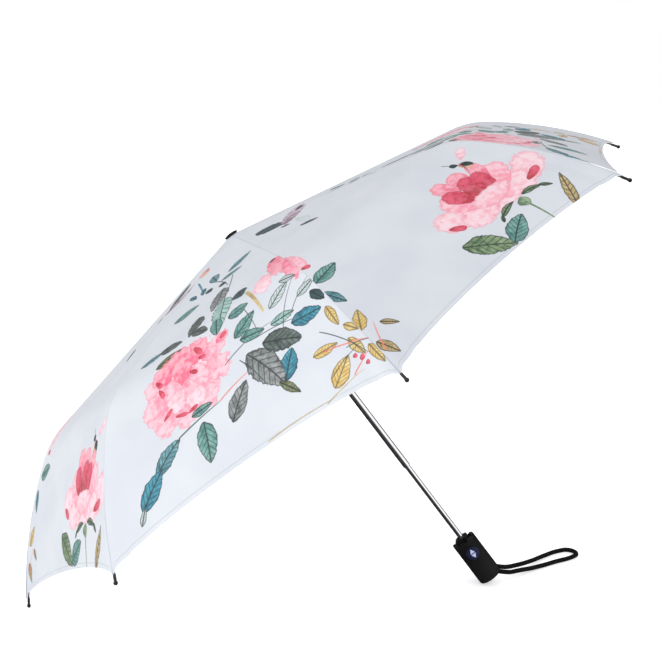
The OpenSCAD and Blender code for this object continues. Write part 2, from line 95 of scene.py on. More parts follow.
def soft_box(name, location, target, width, height, power):
    data = bpy.data.lights.new(name, "AREA")
    data.shape, data.size, data.size_y = "RECTANGLE", width, height
    data.energy = power
    lamp = bpy.data.objects.new(name, data)
    bpy.context.collection.objects.link(lamp)
    lamp.matrix_world = Matrix.Translation(location) @ (
        Vector(target) - Vector(location)).to_track_quat("-Z", "Y").to_matrix().to_4x4()


soft_box("key", (-1.9, -1.6, 1.2), (0, 0, 0.25), 1.2, 1.2, 15)
soft_box("fill", (1.7, -1.2, 1.1), (0.1, 0, 0.2), 1.2, 1.2, 1.5)


# ---------------------------------------------------------------- small helpers for shader nodes

def put(tree, kind, links=None, **settings):
    """Adds a node. links maps an input's name or number to a value or to another node's output."""
    made = tree.nodes.new(kind)
    for key, value in settings.items():
        setattr(made, key, value)
    for key, value in (links or {}).items():
        if isinstance(value, bpy.types.NodeSocket):
            tree.links.new(value, made.inputs[key])
        else:
            made.inputs[key].default_value = value
    return made


def use_group(tree, group, links):
    return put(tree, "ShaderNodeGroup", links, node_tree=group).outputs


def sums(tree, operation, a, b=0.0, third=0.0):
    return put(tree, "ShaderNodeMath", {0: a, 1: b, 2: third}, operation=operation).outputs[0]


def ramp(tree, value, low, high, to_low=0.0, to_high=1.0):
    return put(tree, "ShaderNodeMapRange", {0: value, 1: low, 2: high, 3: to_low, 4: to_high}).outputs[0]


def blend_colour(tree, share, a, b):
    return put(tree, "ShaderNodeMix", {0: share, 6: a, 7: b}, data_type="RGBA").outputs[2]


def colour(r, g, b):
    return (r, g, b, 1.0)


def shader_group(name, inputs, outputs):
    group = bpy.data.node_groups.new(name, "ShaderNodeTree")
    for label, kind, value in inputs:
        socket = group.interface.new_socket(name=label, in_out="INPUT", socket_type="NodeSocket" + kind)
        if value is not None:
            socket.default_value = value
    for label, kind in outputs:
        group.interface.new_socket(name=label, in_out="OUTPUT", socket_type="NodeSocket" + kind)
    return group, group.nodes.new("NodeGroupInput").outputs, group.nodes.new("NodeGroupOutput").inputs


def material(name, base, rough, metal=0.0, **shine):
    made = bpy.data.materials.new(name)
    made.use_nodes = True
    surface = made.node_tree.nodes["Principled BSDF"]
    surface.inputs["Base Color"].default_value = colour(*base)
    surface.inputs["Roughness"].default_value = rough
    surface.inputs["Metallic"].default_value = metal
    for key, value in shine.items():
        surface.inputs[key.replace("_", " ")].default_value = value
    return made, made.node_tree, surface


def bump(tree, surface, height, strength, distance):
    made = put(tree, "ShaderNodeBump", {"Strength": strength, "Distance": distance, "Height": height})
    tree.links.new(made.outputs[0], surface.inputs["Normal"])


# ---------------------------------------------------------------- shared effects

def make_grain():
    """Moulded or coated grain: a fine height, and a slow drift of tone and gloss."""
    group, given, out = shader_group(
        "fine_grain", [("Size", "Float", 900.0), ("Drift", "Float", 14.0)],
        [("Height", "Float"), ("Tone", "Float")])
    place = put(group, "ShaderNodeTexCoord").outputs["Object"]
    fine = put(group, "ShaderNodeTexNoise", {"Vector": place, "Scale": given["Size"], "Detail": 3.0})
    slow = put(group, "ShaderNodeTexNoise", {"Vector": place, "Scale": given["Drift"], "Detail": 4.0})
    group.links.new(fine.outputs[0], out["Height"])
    group.links.new(slow.outputs[0], out["Tone"])
    return group


def make_drawn_lines():
    """Fine lines along the shaft, as a drawn and plated tube has."""
    group, given, out = shader_group("drawn_lines", [("Fineness", "Float", 700.0)], [("Lines", "Float")])
    place = put(group, "ShaderNodeTexCoord").outputs["Object"]
    turned = put(group, "ShaderNodeMapping", {"Vector": place, "Rotation": (0, math.radians(38), 0),
                                             "Scale": (1, 1, 0.02)}).outputs[0]
    lines = put(group, "ShaderNodeTexNoise", {"Vector": turned, "Scale": given["Fineness"], "Detail": 2.0})
    group.links.new(lines.outputs[0], out["Lines"])
    return group


def make_weave():
    """Plain weave on the cloth's own coordinates, in millimetres."""
    group, given, out = shader_group(
        "plain_weave", [("Cloth", "Vector", None), ("Thread", "Float", 0.55)], [("Height", "Float")])
    split = put(group, "ShaderNodeSeparateXYZ", {0: given["Cloth"]}).outputs
    waves = []
    for axis in (0, 1):
        turns = sums(group, "DIVIDE", sums(group, "MULTIPLY", split[axis], math.pi), given["Thread"])
        waves.append(sums(group, "ABSOLUTE", sums(group, "SINE", turns)))
    group.links.new(sums(group, "MULTIPLY", sums(group, "ADD", waves[0], waves[1]), 0.5), out["Height"])
    return group


grain = make_grain()
drawn_lines = make_drawn_lines()
weave = make_weave()


# ---------------------------------------------------------------- finishes of the CAD pieces

def plastic(name, base, rough, size=1100.0, strength=0.12, **shine):
    made, tree, surface = material(name, base, rough, **shine)
    effect = use_group(tree, grain, {"Size": size})
    lighter = tuple(min(1, c * 1.7 + 0.004) for c in base)
    tone = ramp(tree, effect["Tone"], 0.35, 0.7)
    tree.links.new(blend_colour(tree, tone, colour(*base), colour(*lighter)), surface.inputs["Base Color"])
    tree.links.new(ramp(tree, effect["Tone"], 0.3, 0.7, rough - 0.06, rough + 0.08),
                   surface.inputs["Roughness"])
    bump(tree, surface, effect["Height"], strength, 0.0003)
    return made


def metal(name, base, rough, lines=0.15, **shine):
    made, tree, surface = material(name, base, rough, 1.0, **shine)
    effect = use_group(tree, drawn_lines, {})
    spots = use_group(tree, grain, {"Drift": 30.0})
    worn = ramp(tree, spots["Tone"], 0.4, 0.75)
    darker = tuple(c * 0.86 for c in base)
    tree.links.new(blend_colour(tree, worn, colour(*base), colour(*darker)), surface.inputs["Base Color"])
    tree.links.new(ramp(tree, effect["Lines"], 0.3, 0.7, rough * 0.8, rough * 1.5),
                   surface.inputs["Roughness"])
    bump(tree, surface, effect["Lines"], lines, 0.00005)
    return made


chrome = metal("chrome_tube", (0.86, 0.86, 0.88), 0.07)
rib_steel = metal("plated_rib_steel", (0.62, 0.63, 0.65), 0.28)
wire_steel = metal("bright_wire", (0.6, 0.6, 0.62), 0.2)
end_rod = plastic("black_coated_rod", (0.012, 0.012, 0.013), 0.38, strength=0.05, Specular_IOR_Level=0.3)
black_moulding = plastic("black_moulding", (0.005, 0.005, 0.0055), 0.42, Specular_IOR_Level=0.16)
soft_grip = plastic("soft_touch_grip", (0.004, 0.004, 0.0045), 0.55, size=1600.0, strength=0.2,
                    Specular_IOR_Level=0.14)
navy_button = plastic("navy_button", (0.006, 0.008, 0.040), 0.34, strength=0.06, Specular_IOR_Level=0.2)

finishes = {"chrome": chrome, "rib_steel": rib_steel, "end_rod": end_rod, "black_plastic": black_moulding,
            "soft_grip": soft_grip, "button_navy": navy_button, "steel_wire": wire_steel}
slot_of = {part["node"]: part["material_slot"] for part in frame["record"]["subparts"]}
for node, piece in frame["nodes"].items():
    if slot_of[node] in finishes:
        piece.data.materials.clear()
        piece.data.materials.append(finishes[slot_of[node]])


# ---------------------------------------------------------------- mesh helpers

def mesh_object(name, mesh, *materials):
    """Turns a bmesh into an object in the scene, with its materials in order."""
    data = bpy.data.meshes.new(name)
    mesh.to_mesh(data)
    mesh.free()
    for each in materials:
        data.materials.append(each)
    made = bpy.data.objects.new(name, data)
    bpy.context.collection.objects.link(made)
    return made


# ---------------------------------------------------------------- wrist strap

STRAP_ROUTE = [
    (212.1, 0.8, 17.4), (218, 1.5, 16.7), (225.8, 2.5, 15.7), (231.5, 4.4, 14.7), (238, 9.5, 13),
    (244.5, 18.5, 11.1), (251, 28.5, 8.9), (257.5, 37.5, 6.8), (265, 47, 5), (273, 56.5, 3.8),
    (282, 66.3, 3), (291, 75.3, 3), (300.5, 84, 3), (308.6, 90.6, 3), (315.2, 97, 3), (320.5, 103.8, 3),
    (323.3, 109.6, 3), (322.9, 116.1, 3), (319.2, 121.5, 3), (313.4, 124.3, 3), (307, 123.8, 3),
    (301.6, 120.2, 3), (292.5, 112.5, 3), (284, 102, 3.2), (277, 91.5, 4), (270.5, 79.5, 5.4),
    (264.5, 66.5, 7.6), (259, 54, 10.3), (253.5, 42, 12.9), (248, 31, 15.4), (242.5, 21, 17.7),
    (237.5, 12.5, 19.6), (232.5, 6.5, 21), (226.5, 3.3, 22), (218.7, 2.3, 23), (212.8, 1.6, 23.7)]


def smooth_route(points, steps):
    """A uniform Catmull-Rom curve through the points."""
    points = [np.array(p, float) for p in points]
    ends = [2 * points[0] - points[1]] + points + [2 * points[-1] - points[-2]]
    line = []
    for i in range(1, len(ends) - 2):
        a, b, c, d = ends[i - 1:i + 3]
        for s in range(steps):
            t = s / steps
            line.append(0.5 * (2 * b + (c - a) * t + (2 * a - 5 * b + 4 * c - d) * t ** 2
                               + (3 * b - a - 3 * c + d) * t ** 3))
    return line + [points[-1]]


def braided_cord(tree):
    """Two sets of strands that cross round the cord. The UV map counts strands along and around it."""
    split = put(tree, "ShaderNodeSeparateXYZ",
                {0: put(tree, "ShaderNodeUVMap", uv_map="cord").outputs[0]}).outputs
    along, around = split[0], split[1]
    strands = []
    for sign in (1, -1):
        turn = sums(tree, "ADD", along, sums(tree, "MULTIPLY", around, float(sign)))
        strands.append(sums(tree, "ABSOLUTE", sums(tree, "SINE", sums(tree, "MULTIPLY", turn, math.pi))))
    return sums(tree, "MAXIMUM", strands[0], strands[1])


def make_strap():
    line = smooth_route(STRAP_ROUTE, 6)
    sides, radius = 16, 3.0
    braid_pitch, strands = 3.2, 4
    mesh = bmesh.new()
    uv = mesh.loops.layers.uv.new("cord")
    ring, rings, travelled = None, [], [0.0]
    for i, point in enumerate(line):
        ahead = Vector(line[min(i + 1, len(line) - 1)] - line[max(i - 1, 0)]).normalized()
        side = Vector((0, 0, 1)).cross(ahead).normalized()
        over = ahead.cross(side)
        if i:
            travelled.append(travelled[-1] + float(np.linalg.norm(point - line[i - 1])))
        turn = Matrix((side, over, ahead)).transposed().to_4x4()
        turn.translation = Vector(point)
        ring = bmesh.ops.create_circle(mesh, segments=sides, radius=radius, matrix=turn)["verts"]
        rings.append(ring)
    for i, (near, far) in enumerate(zip(rings, rings[1:])):
        for s in range(sides):
            face = mesh.faces.new((near[s], near[(s + 1) % sides], far[(s + 1) % sides], far[s]))
            for loop, (step, turn) in zip(face.loops, ((0, 0), (0, 1), (1, 1), (1, 0))):
                loop[uv].uv = (travelled[i + step] / braid_pitch, (s + turn) * strands / sides)
    for ring in (rings[0], rings[-1]):
        mesh.faces.new(ring)
    bmesh.ops.recalc_face_normals(mesh, faces=mesh.faces)
    bmesh.ops.scale(mesh, vec=(MM, MM, MM), verts=mesh.verts)
    made, tree, surface = material("braided_black_cord", (0.006, 0.006, 0.006), 0.8, Specular_IOR_Level=0.1)
    height = braided_cord(tree)
    # painted shade: the cord is darker where the braid's height is low, in the grooves between the strands
    tree.links.new(blend_colour(tree, height, colour(0.001, 0.001, 0.001), colour(0.008, 0.008, 0.0085)),
                   surface.inputs["Base Color"])
    bump(tree, surface, height, 0.9, 0.0006)
    strap = mesh_object("wrist_strap_braid", mesh, made)
    strap.data.shade_smooth()
    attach(strap, "grip")
    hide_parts("wrist_strap")


make_strap()


# ---------------------------------------------------------------- the cloth's shape

# Slopes and bend of the open ribs in degrees, then lengths in millimetres
OPEN_SLOPE, END_SLOPE, END_BEND = 11.4, 44.1, 21.0
END_RIB, BARE_TIP = 201.0, 8
CLOTH_RISE, CLOTH_THICK = 2.9, 0.3
BEND_INSIDE_ELBOW, ELBOW_ROUND = 2, 2.2
# How deep the hem is cut between two ribs, as a share of the outer cloth, and how full its curve is
HEM_CUT, HEM_CURVE = 0.095, 0.57


def in_plane(hinge):
    """A hinge's radius and height, in millimetres, in its rib's plane."""
    spot = upright.inverted() @ Vector(joints[hinge]["pos_m"])
    return np.array((math.hypot(spot.x, spot.y), spot.z)) / MM


def along(slope):
    slope = np.radians(slope)
    return np.stack((np.cos(slope), -np.sin(slope)), -1)


def above(slope):
    slope = np.radians(slope)
    return np.stack((np.sin(slope), np.cos(slope)), -1)


knee, elbow = in_plane("mid_hinge_1"), in_plane("end_hinge_1")
rib_tip = elbow + END_RIB * along(END_SLOPE)
bend_out = elbow[0] - BEND_INSIDE_ELBOW
bend = np.array((bend_out, -bend_out * math.tan(math.radians(OPEN_SLOPE))))
tip_slope = END_SLOPE + END_BEND / 2
cloth_end = rib_tip - BARE_TIP * along(tip_slope) + CLOTH_RISE * above(tip_slope)
arc = cloth_end - bend
arc_slope = math.degrees(math.atan2(-arc[1], arc[0]))
arc_radius = np.linalg.norm(arc) / 2 / math.sin(math.radians(END_BEND / 2))
inner_length = bend[0] / math.cos(math.radians(OPEN_SLOPE))
outer_length = arc_radius * math.radians(END_BEND)
blend_length = 26.0


def rib_line(s):
    """The cloth's outer face over a rib: s millimetres from the apex, as radius and height."""
    s = np.asarray(s, float)
    inner = np.minimum(s, inner_length)[..., None] * along(OPEN_SLOPE)
    t = np.clip((s - inner_length) / outer_length, 0, 1)
    outer = bend + (2 * arc_radius * np.sin(np.radians(END_BEND * t / 2)))[..., None] * along(
        arc_slope - END_BEND / 2 + END_BEND * t / 2)
    line = np.where((s < inner_length)[..., None], inner, outer)
    # the cloth rounds off the corner over the elbow instead of creasing
    near = np.clip(1 - np.abs(s - inner_length) / blend_length, 0, 1)
    return line - (ELBOW_ROUND * near ** 2)[..., None] * above((OPEN_SLOPE + arc_slope - END_BEND / 2) / 2)


def on_gore(s, w):
    """A point in a rib's own frame, w of the way across to the next rib: out, across and height."""
    q = rib_line(s)
    return np.stack((q[..., 0] * (1 - w * (1 - math.cos(math.pi / 4))),
                     q[..., 0] * w * math.sin(math.pi / 4), q[..., 1]), -1)


def cut_at(hinge, slope, w):
    """How far down the rib line the cut through a hinge, square to the rib, crosses the gore."""
    low, high = np.zeros_like(w), np.full_like(w, inner_length + outer_length)
    direction = along(slope)
    for _ in range(40):
        middle = (low + high) / 2
        p = on_gore(middle, w)
        past = (p[..., 0] - hinge[0]) * direction[0] + (p[..., 2] - hinge[1]) * direction[1] > 0
        low, high = np.where(past, low, middle), np.where(past, middle, high)
    return (low + high) / 2


def hem_at(w):
    return inner_length + outer_length * (1 - HEM_CUT * (4 * w * (1 - w)) ** HEM_CURVE)


rib_steps = np.linspace(0, inner_length + outer_length, 1200)
gore_middle = rib_line(rib_steps) * np.array((math.cos(math.pi / 8), 1))
flat_steps = np.concatenate(([0], np.cumsum(np.linalg.norm(np.diff(gore_middle, axis=0), axis=1))))


def flat_place(s, w):
    """Where a point lies on the flat gore, in millimetres: across from its middle, and down from the apex."""
    chord = 2 * rib_line(s)[..., 0] * math.sin(math.pi / 8)
    return (w - 0.5) * chord, np.interp(s, rib_steps, flat_steps)


# ---------------------------------------------------------------- the cloth's print

INK = colour(0.008, 0.016, 0.018)


def own_place(group, given):
    """Where a point of the cloth lies along and across a motif, from the motif's middle and its turn."""
    place = put(group, "ShaderNodeSeparateXYZ", {0: given["Place"]}).outputs
    across = sums(group, "SUBTRACT", given["Across"], place[0])
    down = sums(group, "SUBTRACT", given["Down"], place[1])
    cosine, sine = sums(group, "COSINE", place[2]), sums(group, "SINE", place[2])
    x = sums(group, "ADD", sums(group, "MULTIPLY", across, cosine), sums(group, "MULTIPLY", down, sine))
    y = sums(group, "SUBTRACT", sums(group, "MULTIPLY", down, cosine), sums(group, "MULTIPLY", across, sine))
    return x, y


def rise(tree, value, low, high):
    """Grows from 0 at low to 1 at high, and on past them: a mix's own factor is what holds it in range."""
    return sums(tree, "MULTIPLY_ADD", value, 1 / (high - low), third=-low / (high - low))


MOTIF = [("Across", "Float", None), ("Down", "Float", None), ("Mottle", "Float", None),
         ("Place", "Vector", None), ("Size", "Vector", None)]


def make_leaf(name, veined):
    """A leaf or a stem. Place is its middle and its turn, Size its length, width and bow."""
    group, given, out = shader_group(name, MOTIF, [("Mask", "Float"), ("Ink", "Float"), ("Wash", "Float")])
    x, y = own_place(group, given)
    size = put(group, "ShaderNodeSeparateXYZ", {0: given["Size"]}).outputs
    end = sums(group, "MULTIPLY", x, sums(group, "DIVIDE", 2.0, size[0]))
    swell = sums(group, "SUBTRACT", 1.0, sums(group, "MULTIPLY", end, end))
    line = sums(group, "ABSOLUTE", sums(group, "MULTIPLY_ADD", size[2], swell, third=y))
    full = sums(group, "POWER", sums(group, "MAXIMUM", swell, 0.0001), 0.8 if veined else 0.12)
    full = sums(group, "MULTIPLY", full, sums(group, "MULTIPLY_ADD", end, -0.12, third=0.5))
    full = sums(group, "MULTIPLY_ADD", given["Mottle"], 0.1, third=sums(group, "SUBTRACT", full, 0.05))
    depth = sums(group, "SUBTRACT", sums(group, "MULTIPLY", full, size[1]), line)
    depth = sums(group, "MINIMUM", depth, sums(group, "MULTIPLY", swell, 9.0))
    group.links.new(rise(group, depth, -0.3, 0.4), out["Mask"])
    if veined:
        ink = sums(group, "MAXIMUM", rise(group, depth, 1.8, 0.5), rise(group, line, 1.2, 0.5))
        lean = sums(group, "MULTIPLY", size[0], 0.45)
        slant = sums(group, "SUBTRACT", end, sums(group, "DIVIDE", line, lean))
        step = sums(group, "ABSOLUTE", sums(group, "SUBTRACT", sums(
            group, "FRACT", sums(group, "MULTIPLY", slant, 3.5)), 0.5))
        vein = sums(group, "MULTIPLY", rise(group, step, 0.17, 0.05), 0.7)
        group.links.new(sums(group, "MINIMUM", sums(group, "MAXIMUM", ink, vein), 1.0), out["Ink"])
    group.links.new(sums(group, "MULTIPLY_ADD", end, 0.25, third=given["Mottle"]), out["Wash"])
    return group


def make_petal():
    """A petal: Place is its middle and its turn, Size its length, width and how frilled its edge is."""
    group, given, out = shader_group(
        "printed_petal", MOTIF, [("Mask", "Float"), ("Rim", "Float"), ("Wash", "Float")])
    x, y = own_place(group, given)
    size = put(group, "ShaderNodeSeparateXYZ", {0: given["Size"]}).outputs
    x = sums(group, "DIVIDE", x, size[0])
    y = sums(group, "DIVIDE", y, size[1])
    narrow = sums(group, "MULTIPLY", y, sums(group, "SUBTRACT", 2.0, x))
    squares = sums(group, "MULTIPLY_ADD", sums(group, "MULTIPLY", x, x), 4.0,
                   third=sums(group, "MULTIPLY", narrow, narrow))
    frill = sums(group, "MULTIPLY", sums(group, "SUBTRACT", given["Mottle"], 0.5), size[2])
    reach = sums(group, "ADD", sums(group, "SQRT", squares), frill)
    group.links.new(rise(group, reach, 1.04, 0.97), out["Mask"])
    rim = sums(group, "MAXIMUM", sums(group, "MINIMUM", rise(group, reach, 0.8, 1.0), 1.0), 0.0)
    group.links.new(rim, out["Rim"])
    fade = sums(group, "SUBTRACT", sums(group, "MULTIPLY_ADD", given["Mottle"], 1.5, third=-0.25),
                sums(group, "MULTIPLY", x, 1.4))
    group.links.new(fade, out["Wash"])
    return group


leaf, stem, petal = make_leaf("printed_leaf", True), make_leaf("printed_stem", False), make_petal()

# Two tones of each printed colour
TONES = {
    "teal": ((0.03, 0.15, 0.19), (0.17, 0.38, 0.42)), "deep_teal": ((0.01, 0.12, 0.19), (0.05, 0.32, 0.42)),
    "dark": ((0.01, 0.03, 0.035), (0.035, 0.10, 0.105)), "sea": ((0.05, 0.19, 0.18), (0.20, 0.40, 0.36)),
    "pale_sea": ((0.20, 0.40, 0.38), (0.44, 0.62, 0.57)), "grey": ((0.09, 0.10, 0.10), (0.33, 0.35, 0.355)),
    "olive": ((0.07, 0.09, 0.035), (0.26, 0.30, 0.14)), "slate": ((0.025, 0.045, 0.042), (0.14, 0.18, 0.165)),
    "yellow": ((0.60, 0.38, 0.08), (0.74, 0.58, 0.26)), "ochre": ((0.36, 0.25, 0.09), (0.60, 0.48, 0.25)),
    "coral": ((0.66, 0.14, 0.12), (0.76, 0.30, 0.26)), "green": ((0.06, 0.13, 0.055), (0.26, 0.36, 0.20)),
    "blush": ((0.84, 0.27, 0.37), (0.86, 0.52, 0.59)), "rose": ((0.76, 0.13, 0.23), (0.85, 0.38, 0.46)),
    "red": ((0.42, 0.01, 0.03), (0.68, 0.07, 0.14)), "pale": ((0.84, 0.40, 0.48), (0.84, 0.62, 0.68)),
    "mauve": ((0.20, 0.12, 0.18), (0.58, 0.46, 0.54)), "rust": ((0.46, 0.13, 0.08), (0.72, 0.40, 0.30)),
    "line": ((0.46, 0.56, 0.54), (0.56, 0.63, 0.66))}

# Each row: shape, across and down on the flat gore, turn, length, width, bend or frill, and tone
PEONY_GORE = [
    ("stem", 11, 191, 62, 62, 1.6, 3, "dark"), ("stem", 24, 250, 95, 120, 1.6, 4, "slate"),
    ("leaf", -4, 152, 70, 34, 15, 0, "teal"), ("leaf", 35, 156, -30, 38, 18, 0, "teal"),
    ("leaf", 26, 182, 5, 32, 12, 0, "teal"), ("leaf", -7, 186, 60, 17, 11, 0, "dark"),
    ("leaf", 15, 199, 45, 14, 10, 0, "dark"), ("leaf", -37, 212, 0, 38, 21, 0, "sea"),
    ("leaf", 15, 247, 97, 58, 25, 2, "grey"), ("leaf", 26, 298, 92, 72, 28, 2, "pale_sea"),
    ("leaf", 21, 325, 95, 26, 17, 0, "sea"), ("leaf", 52, 287, 70, 27, 20, 0, "dark"),
    ("leaf", 51, 325, 0, 28, 17, 0, "sea"), ("stem", 71, 325, 72, 56, 4.5, 2, "ochre"),
    ("leaf", -13, 284, 100, 44, 22, 3, "slate"), ("leaf", -2, 309, 42, 32, 15, 0, "slate"),
    ("leaf", -71, 292, 5, 38, 14, 1, "teal"), ("leaf", -44, 296, 25, 38, 18, 0, "slate"),
    ("leaf", -45, 320, -5, 38, 14, 0, "olive"), ("petal", -29, 91, 110, 22, 15, 0.5, "rust"),
    ("petal", 85, 306, 85, 40, 24, 0.4, "pale"), ("petal", 104, 281, 70, 68, 28, 0.3, "rose"),
    ("petal", 122, 314, 75, 56, 18, 0.3, "rose"), ("leaf", 94, 254, 0, 10, 7, 0, "dark"),
    ("petal", -31, 366, 0, 92, 84, 0.35, "pale"), ("petal", -65, 352, 200, 38, 30, 0.4, "blush"),
    ("petal", -73, 378, 180, 36, 30, 0.4, "blush"), ("petal", -64, 398, 140, 36, 24, 0.4, "blush"),
    ("petal", -40, 402, 110, 34, 26, 0.4, "blush"), ("petal", -12, 396, 60, 38, 28, 0.4, "blush"),
    ("petal", 8, 376, 20, 38, 30, 0.4, "blush"), ("petal", 12, 351, -20, 36, 22, 0.4, "blush"),
    ("petal", 25, 344, -20, 18, 12, 0.4, "rose"), ("petal", -9, 339, -60, 34, 28, 0.4, "rose"),
    ("petal", -34, 334, -90, 30, 40, 0.4, "rose"), ("petal", -56, 341, -130, 30, 26, 0.4, "rose"),
    ("petal", -40, 368, 150, 40, 32, 0.4, "blush"), ("petal", -18, 369, 30, 38, 30, 0.4, "blush"),
    ("petal", -31, 350, -90, 34, 28, 0.4, "rose"), ("petal", -46, 383, 130, 30, 24, 0.4, "pale"),
    ("petal", -24, 388, 80, 34, 24, 0.4, "pale"), ("petal", -63, 347, 60, 13, 6, 0.3, "red"),
    ("petal", -62, 361, 70, 14, 6, 0.3, "red"), ("petal", -7, 339, 60, 16, 7, 0.3, "red"),
    ("petal", -18, 362, 40, 12, 6, 0.3, "red"), ("petal", -61, 391, -30, 16, 5, 0.3, "red"),
    ("petal", -46, 402, 20, 16, 5, 0.3, "red"), ("petal", -31, 404, -10, 13, 5, 0.3, "red"),
    ("petal", -4, 351, 20, 11, 5, 0.3, "red"), ("petal", 27, 343, -20, 10, 6, 0.3, "red"),
    ("stem", -29, 421, -8, 58, 1.8, 1, "slate"), ("stem", 24, 412, -12, 50, 1.6, 2, "coral"),
    ("leaf", -22, 412, 0, 28, 11, 0, "sea"), ("leaf", -76, 437, -30, 46, 19, 2, "teal"),
    ("leaf", -106, 459, -38, 48, 22, 1, "deep_teal"), ("leaf", -126, 478, -55, 20, 8, 0, "line"),
    ("leaf", -29, 449, 100, 48, 24, 1, "sea"), ("leaf", 21, 431, -48, 46, 22, 1, "grey"),
    ("leaf", 85, 430, -55, 36, 22, 0, "deep_teal"), ("leaf", 60, 417, 65, 66, 34, 2, "grey"),
    ("leaf", 77, 453, 55, 30, 10, 0, "olive"), ("leaf", 88, 400, 30, 50, 26, 1, "slate"),
    ("leaf", 122, 392, 10, 38, 20, 0, "deep_teal"), ("leaf", 141, 378, 60, 24, 12, 0, "dark"),
    ("stem", 51, 376, -10, 66, 1.3, 4, "slate"), ("stem", 88, 382, 12, 54, 1.2, 2, "slate"),
    ("stem", 122, 364, -45, 46, 1.1, 2, "slate"), ("leaf", 54, 350, -30, 36, 18, 0, "sea"),
    ("leaf", 59, 369, 15, 32, 15, 0, "sea"), ("leaf", 97, 375, 5, 30, 13, 0, "pale_sea"),
    ("leaf", 101, 344, -35, 36, 15, 0, "line"), ("leaf", 116, 331, 20, 22, 10, 0, "line"),
    ("leaf", 132, 359, -20, 26, 12, 0, "line"), ("leaf", 147, 412, 80, 30, 11, 0, "yellow"),
    ("leaf", 126, 442, 5, 30, 12, 0, "yellow"), ("leaf", 132, 473, -40, 36, 20, 0, "yellow"),
    ("leaf", 157, 459, 70, 28, 11, 0, "yellow"), ("leaf", 172, 478, 75, 28, 11, 0, "yellow"),
    ("leaf", 160, 437, 50, 20, 9, 0, "yellow"), ("stem", 151, 453, 20, 60, 1.6, 2, "coral"),
    ("stem", 154, 478, -30, 28, 1.5, 1, "coral"), ("petal", 157, 473, 0, 6, 6, 0.3, "red"),
    ("petal", 151, 467, 0, 5, 5, 0.3, "red"), ("petal", 160, 481, 0, 5, 5, 0.3, "red"),
    ("stem", 72, 491, 2, 80, 1.3, 2, "ochre"), ("stem", 129, 489, -10, 50, 1.2, 1, "ochre"),
    ("stem", 146, 446, 55, 64, 1.1, 3, "dark"),
    ("stem", 140, 466, -20, 44, 1.0, 2, "dark"), ("stem", 163, 458, 15, 34, 1.0, 1, "dark"),
    ("stem", 108, 362, -62, 60, 1.0, 3, "dark"), ("stem", 62, 352, 80, 50, 1.1, 2, "slate"),
    ("stem", -26, 150, 74, 66, 2.6, 1, "deep_teal"), ("leaf", -34, 168, 60, 26, 9, 0, "deep_teal"),
    ("leaf", -18, 172, 84, 24, 9, 0, "deep_teal"), ("stem", 46, 412, 68, 52, 1.2, 2, "dark")]

LOTUS_GORE = [
    ("leaf", -12, 114, 78, 54, 26, 0, "dark"), ("petal", 16, 128, -35, 66, 26, 0.3, "mauve"),
    ("leaf", 36, 117, -30, 16, 10, 0, "dark"), ("leaf", -15, 153, 70, 16, 7, 0, "dark"),
    ("petal", -5, 178, 105, 44, 12, 0.5, "line"), ("leaf", -20, 211, 65, 28, 11, 0, "slate"),
    ("petal", 19, 422, 205, 62, 34, 0.25, "pale"), ("petal", 126, 425, -30, 60, 36, 0.25, "pale"),
    ("petal", 69, 434, 90, 30, 60, 0.2, "pale"), ("petal", 44, 430, 165, 60, 34, 0.25, "pale"),
    ("petal", 94, 430, 12, 62, 34, 0.25, "pale"), ("petal", 4, 429, 40, 20, 9, 0.2, "red"),
    ("petal", 124, 435, -15, 27, 10, 0.2, "red"), ("petal", 38, 406, -120, 46, 30, 0.2, "blush"),
    ("petal", 101, 406, -60, 44, 28, 0.2, "blush"), ("petal", 69, 379, -90, 30, 24, 0.2, "rose"),
    ("petal", 47, 380, -100, 38, 22, 0.2, "rose"), ("petal", 92, 387, -75, 38, 19, 0.2, "rose"),
    ("petal", 46, 400, -125, 42, 22, 0.2, "red"), ("petal", 67, 400, -70, 44, 26, 0.2, "red"),
    ("petal", 82, 403, -80, 42, 22, 0.2, "red"), ("petal", 69, 424, -90, 26, 56, 0.2, "pale"),
    ("stem", 81, 480, 90, 46, 2.4, 1, "green"), ("petal", 80, 456, 0, 15, 14, 0.2, "green"),
    ("leaf", 60, 451, -15, 28, 8, 2, "green"), ("leaf", 101, 451, 15, 28, 8, 2, "green"),
    ("leaf", 117, 457, 45, 16, 6, 0, "green"), ("leaf", 45, 456, -50, 12, 5, 0, "green"),
    ("petal", 110, 347, -40, 24, 11, 0.3, "pale"), ("petal", 96, 366, 55, 18, 12, 0.4, "rust"),
    ("leaf", 98, 366, 55, 15, 9, 0, "dark"), ("leaf", 87, 356, 40, 10, 8, 0, "dark"),
    ("stem", 84, 350, 60, 14, 1, 0, "dark"), ("stem", 90, 372, 110, 14, 1, 0, "dark"),
    ("leaf", 5, 470, 42, 58, 28, 1, "green"), ("leaf", 44, 476, -28, 44, 24, 1, "sea"),
    ("leaf", 49, 497, 5, 18, 8, 0, "slate"), ("leaf", 127, 480, -58, 54, 14, 0, "ochre"),
    ("petal", -121, 309, 105, 60, 12, 0.3, "blush"), ("petal", -129, 336, 20, 11, 7, 0.2, "red"),
    ("leaf", -126, 361, -10, 38, 20, 0, "sea"), ("leaf", -149, 395, 80, 30, 14, 0, "teal"),
    ("leaf", -159, 437, -50, 30, 15, 0, "yellow"), ("leaf", -167, 481, 75, 26, 14, 0, "ochre"),
    ("leaf", -142, 461, 50, 20, 8, 0, "ochre"), ("stem", -162, 466, -60, 40, 1.4, 1, "coral")]


